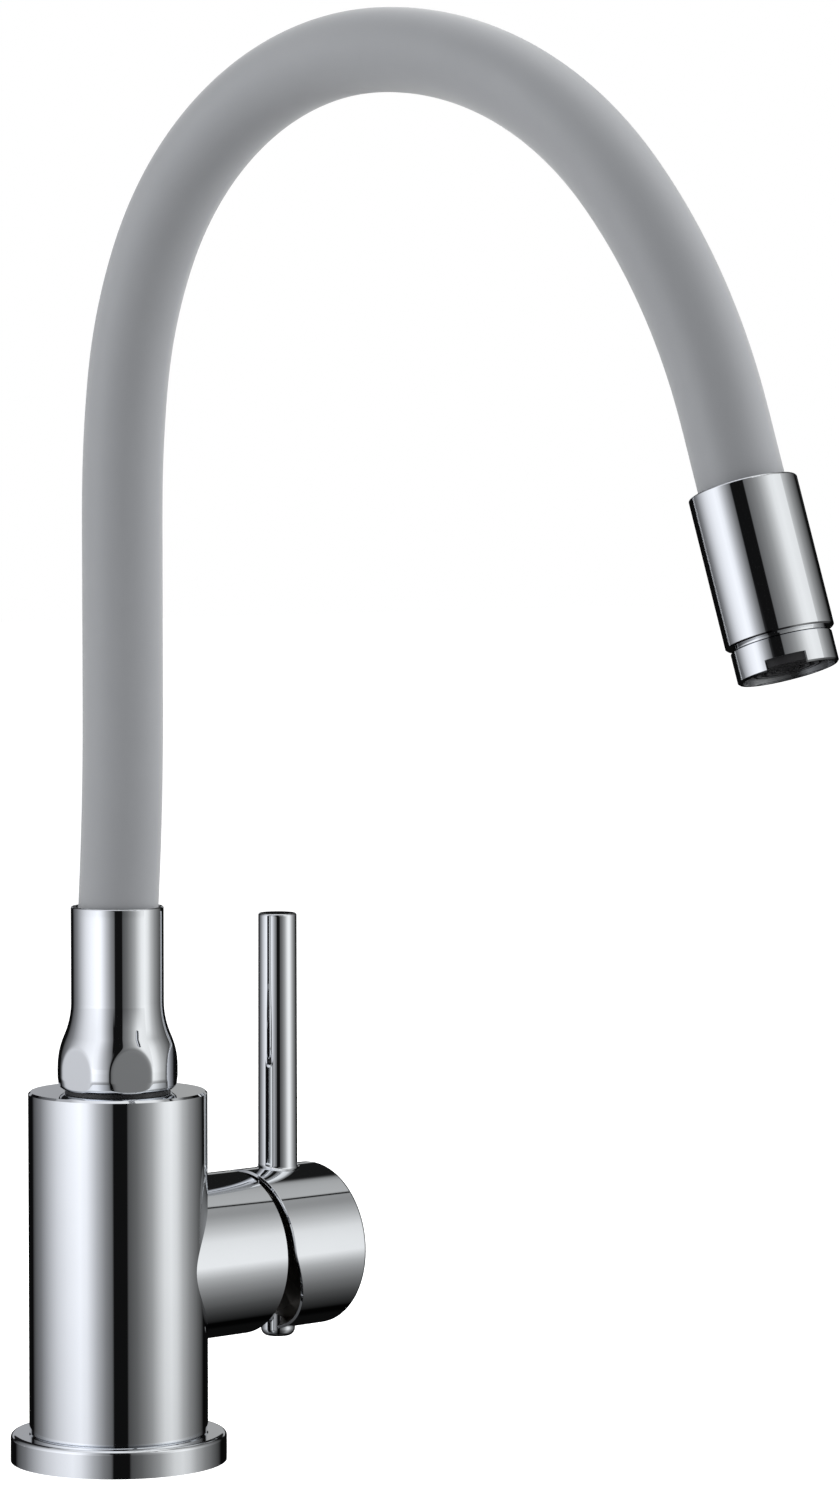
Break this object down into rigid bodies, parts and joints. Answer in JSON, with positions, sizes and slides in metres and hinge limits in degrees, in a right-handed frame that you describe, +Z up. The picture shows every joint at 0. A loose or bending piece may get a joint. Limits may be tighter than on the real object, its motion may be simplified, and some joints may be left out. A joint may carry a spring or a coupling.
{
  "type": "kitchen tap",
  "caption": "Single-lever kitchen tap: round chrome body with a side lever, and a flexible arched hose spout that swivels and ends in a straight chrome head.",
  "frame": {"origin": "centre of the foot's underside, on the deck", "axes": "+Z straight up along the body, +X along the side valve towards the lever, the spout rests 8 degrees off -Y towards +X"},
  "size_m": [0.0984, 0.2594, 0.3825],
  "materials": {
    "chrome": "polished chrome plate on brass",
    "brass": "bare machined brass",
    "silicone": "matt grey silicone",
    "conduit": "bendable steel conduit",
    "seal_rubber": "black rubber",
    "steel": "bright stainless steel",
    "black_plastic": "black moulded plastic",
    "cartridge_plastic": "off-white moulded plastic",
    "tube_plastic": "milky plastic tube",
    "ceramic": "ground white ceramic"
  },
  "bodies": {
    "tap_body": {"base_ring": "chrome", "deck_gasket": "seal_rubber", "body_shell": "chrome", "swivel_post": "brass", "swivel_o_rings": "seal_rubber", "sliding_washer": "black_plastic", "snap_ring": "steel", "cartridge_base": "cartridge_plastic", "port_seals": "seal_rubber", "fixed_disc": "ceramic", "cartridge_case": "cartridge_plastic", "retaining_nut": "brass", "trim_dome": "chrome"},
    "spout": {"neck_collar": "chrome", "hose_tail": "brass", "hose_conduit": "conduit", "water_tube": "tube_plastic", "hose_sleeve": "silicone"},
    "head": {"head_nipple": "brass", "head_barrel": "chrome", "flow_washer": "seal_rubber", "flow_screen": "steel", "flow_insert": "black_plastic", "flow_ring": "chrome"},
    "valve_guide": {"lever_guide": "cartridge_plastic", "pivot_pin": "steel"},
    "lever": {"lever_stem": "steel", "handle_cap": "chrome", "lever_rod": "chrome", "grub_screw": "steel", "cap_plug": "chrome"},
    "disc_slider": {"moving_disc": "ceramic", "disc_carrier": "cartridge_plastic"}
  },
  "joints": [
    {"name": "spout_swivel", "type": "hinge", "parent": "tap_body", "child": "spout", "pos_m": [0, 0, 0.11], "axis": [0, 0, 1], "continuous": true},
    {"name": "hose_flex", "type": "hinge", "parent": "spout", "child": "head", "pos_m": [0.01296, -0.0922, 0.3365], "axis": [0.9903, 0.1392, 0], "range_deg": [-25, 25], "deforming": ["hose_sleeve", "hose_conduit", "water_tube"]},
    {"name": "lever_turn", "type": "hinge", "parent": "tap_body", "child": "valve_guide", "pos_m": [0.0365, 0, 0.0519], "axis": [1, 0, 0], "range_deg": [-50, 50]},
    {"name": "lever_lift", "type": "hinge", "parent": "valve_guide", "child": "lever", "pos_m": [0.0365, 0, 0.0519], "axis": [0, 1, 0], "range_deg": [0, 23]},
    {"name": "disc_slide", "type": "slide", "parent": "valve_guide", "child": "disc_slider", "axis": [0, 0, 1], "range_m": [0, 0.0038]}
  ],
  "couplings": [
    {"joint": "disc_slide", "follows": "lever_lift", "m_per_rad": 0.00925}
  ]
}
